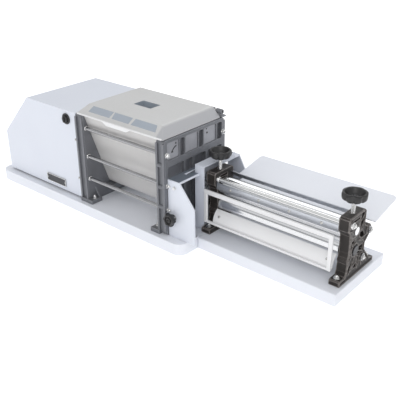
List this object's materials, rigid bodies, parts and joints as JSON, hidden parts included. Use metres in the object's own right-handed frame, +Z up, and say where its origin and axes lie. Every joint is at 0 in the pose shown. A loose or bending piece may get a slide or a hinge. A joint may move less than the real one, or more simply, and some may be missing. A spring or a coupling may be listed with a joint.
{
  "type": "pasta roller machine",
  "caption": "Motorised pasta machine: a drive cover and a lidded kneading trough on one board, coupled to a two-roller dough sheeter with chute and infeed tray.",
  "frame": {"origin": "centre of the machine's footprint box, on the table that the two boards stand on", "axes": "+X along the machine from the drive cover to the sheeter, +Y from the front to the back, +Z up"},
  "size_m": [0.822, 0.2402, 0.224],
  "materials": {
    "white_board": "white polyethylene board, finely grained, soft sheen",
    "white_sheet": "white powder-coated sheet metal with a faint orange-peel texture",
    "dark_plate": "black painted sheet metal, satin",
    "black_plastic": "moulded black phenolic plastic, satin",
    "motor_paint": "dark grey enamel on an iron motor body",
    "aluminium": "machined or knurled aluminium",
    "steel": "zinc-plated and turned steel",
    "stainless": "brushed stainless sheet and bar",
    "grey_casting": "grey painted aluminium casting, slightly rough",
    "black_casting": "black painted casting, with worn brown-grey ribs",
    "chrome": "ground and chromed steel, mirror bright",
    "clear_lid": "translucent smoked polycarbonate, satin gloss",
    "white_plastic": "white moulded plastic, semi-gloss",
    "rubber": "black rubber coupling disc"
  },
  "bodies": {
    "machine": {"drive_board": "white_board", "sheeter_board": "white_board", "cover_base_plate": "dark_plate", "motor_cover": "white_sheet", "switch_bezel": "black_plastic", "nameplate": "dark_plate", "cable_gland": "black_plastic", "motor": "motor_paint", "gearbox": "aluminium", "motor_cradle": "steel", "casting_left": "grey_casting", "casting_right": "grey_casting", "tie_rod_front_upper": "steel", "tie_rod_front_middle": "steel", "tie_rod_front_lower": "steel", "tie_rod_rear_upper": "steel", "tie_rod_rear_middle": "steel", "tie_rod_rear_lower": "steel", "trough": "stainless", "hinge_rail": "grey_casting", "hinge_bracket_left": "grey_casting", "hinge_bracket_right": "grey_casting", "hinge_pin": "steel", "hinge_knob": "black_plastic", "bracket": "white_sheet", "frame_left": "black_casting", "frame_right": "black_casting", "front_tie_rod": "aluminium", "rear_tie_rod": "steel", "lower_tie_rod": "steel", "gear_cover": "white_sheet", "guide_plate": "aluminium", "outfeed_surround": "white_plastic", "outfeed_chute": "white_plastic", "infeed_tray": "white_board", "foot_bolt_left": "steel", "foot_bolt_right": "steel"},
    "lid": {"lid": "clear_lid"},
    "switch": {"switch_knob": "black_plastic"},
    "kneader": {"kneader_shaft": "stainless", "drive_gear": "steel", "coupling_driver": "aluminium", "coupling_disc": "rubber"},
    "motor_rotor": {"motor_shaft": "steel", "motor_pinion": "steel"},
    "roller_carriage": {"bearing_block_left": "steel", "bearing_block_right": "steel"},
    "upper_roller": {"roller_upper": "chrome", "roller_gear_upper": "steel", "coupling_driven": "aluminium"},
    "lower_roller": {"roller_lower": "chrome", "roller_gear_lower": "steel"},
    "adjuster_left": {"adjust_screw_left": "steel", "adjust_knob_left": "black_plastic"},
    "adjuster_right": {"adjust_screw_right": "steel", "adjust_knob_right": "black_plastic"},
    "clamp_front": {"clamp_knob_front": "black_plastic"},
    "clamp_rear": {"clamp_knob_rear": "black_plastic"}
  },
  "joints": [
    {"name": "lid_hinge", "type": "hinge", "parent": "machine", "child": "lid", "pos_m": [-0.0328, 0.0524, 0.215], "axis": [-1, 0, 0], "range_deg": [0, 100]},
    {"name": "switch_turn", "type": "hinge", "parent": "machine", "child": "switch", "pos_m": [-0.178, -0.1061, 0.187], "axis": [0, -1, 0], "range_deg": [0, 60]},
    {"name": "kneader_turn", "type": "hinge", "parent": "machine", "child": "kneader", "pos_m": [-0.059, -0.0141, 0.109], "axis": [1, 0, 0], "continuous": true},
    {"name": "motor_turn", "type": "hinge", "parent": "machine", "child": "motor_rotor", "pos_m": [-0.191, 0.03412, 0.07768], "axis": [1, 0, 0], "continuous": true},
    {"name": "adjust_left_turn", "type": "hinge", "parent": "machine", "child": "adjuster_left", "pos_m": [0.1275, -0.0141, 0.15], "axis": [0, 0, 1], "range_deg": [0, 720]},
    {"name": "adjust_right_turn", "type": "hinge", "parent": "machine", "child": "adjuster_right", "pos_m": [0.39, -0.0141, 0.15], "axis": [0, 0, 1], "range_deg": [0, 720]},
    {"name": "roller_gap", "type": "slide", "parent": "machine", "child": "roller_carriage", "axis": [0, 0, 1], "range_m": [0, 0.003]},
    {"name": "upper_roller_turn", "type": "hinge", "parent": "roller_carriage", "child": "upper_roller", "pos_m": [0.2585, -0.0141, 0.109], "axis": [1, 0, 0], "continuous": true},
    {"name": "lower_roller_turn", "type": "hinge", "parent": "machine", "child": "lower_roller", "pos_m": [0.2585, -0.0141, 0.0744], "axis": [1, 0, 0], "continuous": true},
    {"name": "clamp_front_turn", "type": "hinge", "parent": "machine", "child": "clamp_front", "pos_m": [0.0945, -0.11, 0.0635], "axis": [0, -1, 0], "range_deg": [0, 360]},
    {"name": "clamp_rear_turn", "type": "hinge", "parent": "machine", "child": "clamp_rear", "pos_m": [0.0945, 0.078, 0.0635], "axis": [0, 1, 0], "range_deg": [0, 360]}
  ],
  "couplings": [
    {"joint": "motor_turn", "follows": "kneader_turn", "ratio": -3.6},
    {"joint": "upper_roller_turn", "follows": "kneader_turn", "ratio": 1},
    {"joint": "lower_roller_turn", "follows": "kneader_turn", "ratio": -1},
    {"joint": "adjust_left_turn", "follows": "roller_gap", "rad_per_m": 4188.8},
    {"joint": "adjust_right_turn", "follows": "roller_gap", "rad_per_m": 4188.8}
  ]
}
